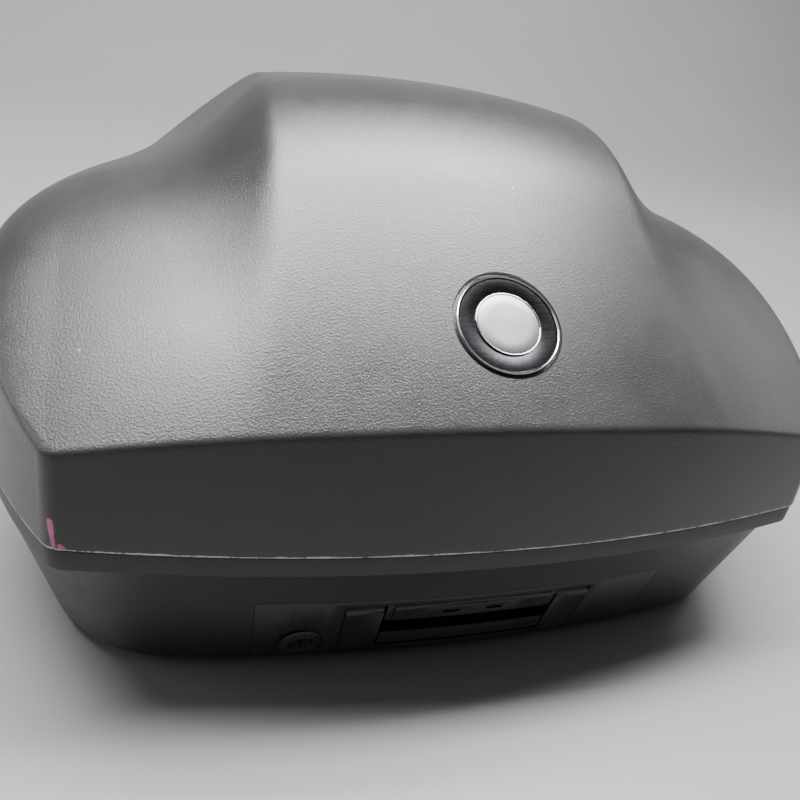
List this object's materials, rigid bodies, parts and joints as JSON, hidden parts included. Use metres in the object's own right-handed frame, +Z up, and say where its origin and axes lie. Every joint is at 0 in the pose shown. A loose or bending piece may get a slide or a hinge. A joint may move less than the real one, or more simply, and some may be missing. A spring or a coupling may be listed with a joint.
{
  "type": "motorcycle top case",
  "caption": "Hard top case with a helmet hump, front-hinged lid, fold-out carry handle, key lock, release lever and carrier channel under the tray.",
  "frame": {"origin": "centre of the bounding box's base, on the plane the feet stand on", "axes": "+X to the right seen from the latch side and across the symmetry plane, +Y towards the hinges (the rider's side), -Y towards the latch panel and badge, +Z up"},
  "size_m": [0.5658, 0.395, 0.3167],
  "materials": {
    "graphite": "graphite grey ABS with a fine leather grain",
    "black": "black satin ABS",
    "badge_black": "gloss black",
    "steel": "zinc-plated steel",
    "chrome": "polished",
    "silver": "spun aluminium",
    "rubber": "matt black",
    "webbing": "woven polyamide webbing"
  },
  "bodies": {
    "tray": {"tray_shell": "black", "rim_seal": "rubber", "latch_panel": "black", "recess_tub": "black", "lock_housing": "black", "tray_hinge_left": "steel", "tray_hinge_right": "steel", "hinge_pin_left": "steel", "hinge_pin_right": "steel", "tray_screw_left_1": "steel", "tray_screw_left_2": "steel", "tray_screw_right_1": "steel", "tray_screw_right_2": "steel", "handle_pin_left": "steel", "handle_pin_right": "steel", "lever_pin": "steel", "rocker_pin": "steel", "rocker_bracket": "steel", "carrier_rail_left": "steel", "carrier_rail_right": "steel", "foot_1": "rubber", "foot_2": "rubber", "foot_3": "rubber", "foot_4": "rubber", "floor_mat_left": "rubber", "floor_mat_right": "rubber", "luggage_strap": "webbing", "strap_buckle": "black", "strap_anchor_left": "black", "strap_anchor_right": "black"},
    "lid": {"lid_shell": "graphite", "badge_body": "badge_black", "badge_rim": "chrome", "badge_ring": "chrome", "badge_disc": "silver", "lid_hinge_left": "steel", "lid_hinge_right": "steel", "lid_screw_left_1": "steel", "lid_screw_left_2": "steel", "lid_screw_right_1": "steel", "lid_screw_right_2": "steel", "lid_catch_left": "steel", "lid_catch_right": "steel"},
    "handle": {"carry_handle": "black"},
    "lever": {"release_lever": "black"},
    "push_rod": {"push_rod": "steel"},
    "rocker": {"release_rocker": "steel"},
    "tongue": {"mount_tongue": "steel"},
    "lock": {"lock_plug": "steel", "lock_cam": "steel"},
    "latch_bar": {"latch_bar": "steel"}
  },
  "joints": [
    {"name": "lid_hinge", "type": "hinge", "parent": "tray", "child": "lid", "pos_m": [0, 0.192, 0.1048], "axis": [-1, 0, 0], "range_deg": [0, 80]},
    {"name": "handle_fold", "type": "hinge", "parent": "tray", "child": "handle", "pos_m": [0, -0.17827, 0.054], "axis": [-1, 0, 0], "range_deg": [0, 85]},
    {"name": "lever_pull", "type": "hinge", "parent": "tray", "child": "lever", "pos_m": [0, -0.18337, 0.057], "axis": [-1, 0, 0], "range_deg": [0, 25], "stiffness_Nm_per_rad": 0.3, "springref_deg": -11.46},
    {"name": "rod_slide", "type": "slide", "parent": "tray", "child": "push_rod", "axis": [0, 1, 0], "range_m": [0, 0.0043]},
    {"name": "rocker_turn", "type": "hinge", "parent": "tray", "child": "rocker", "pos_m": [0, -0.1425, 0.038], "axis": [-1, 0, 0], "range_deg": [0, 9.2]},
    {"name": "tongue_slide", "type": "slide", "parent": "tray", "child": "tongue", "axis": [0, -1, 0], "range_m": [0, 0.0042]},
    {"name": "lock_turn", "type": "hinge", "parent": "tray", "child": "lock", "pos_m": [-0.101, -0.17488, 0.026], "axis": [0, 0.9703, 0.2419], "range_deg": [0, 90]},
    {"name": "latch_slide", "type": "slide", "parent": "tray", "child": "latch_bar", "axis": [1, 0, 0], "range_m": [0, 0.01]}
  ],
  "couplings": [
    {"joint": "rod_slide", "follows": "lever_pull", "m_per_rad": 0.009},
    {"joint": "rocker_turn", "follows": "lever_pull", "ratio": 0.32847},
    {"joint": "tongue_slide", "follows": "lever_pull", "m_per_rad": 0.0087044},
    {"joint": "latch_slide", "follows": "lock_turn", "m_per_rad": 0.0057296}
  ]
}
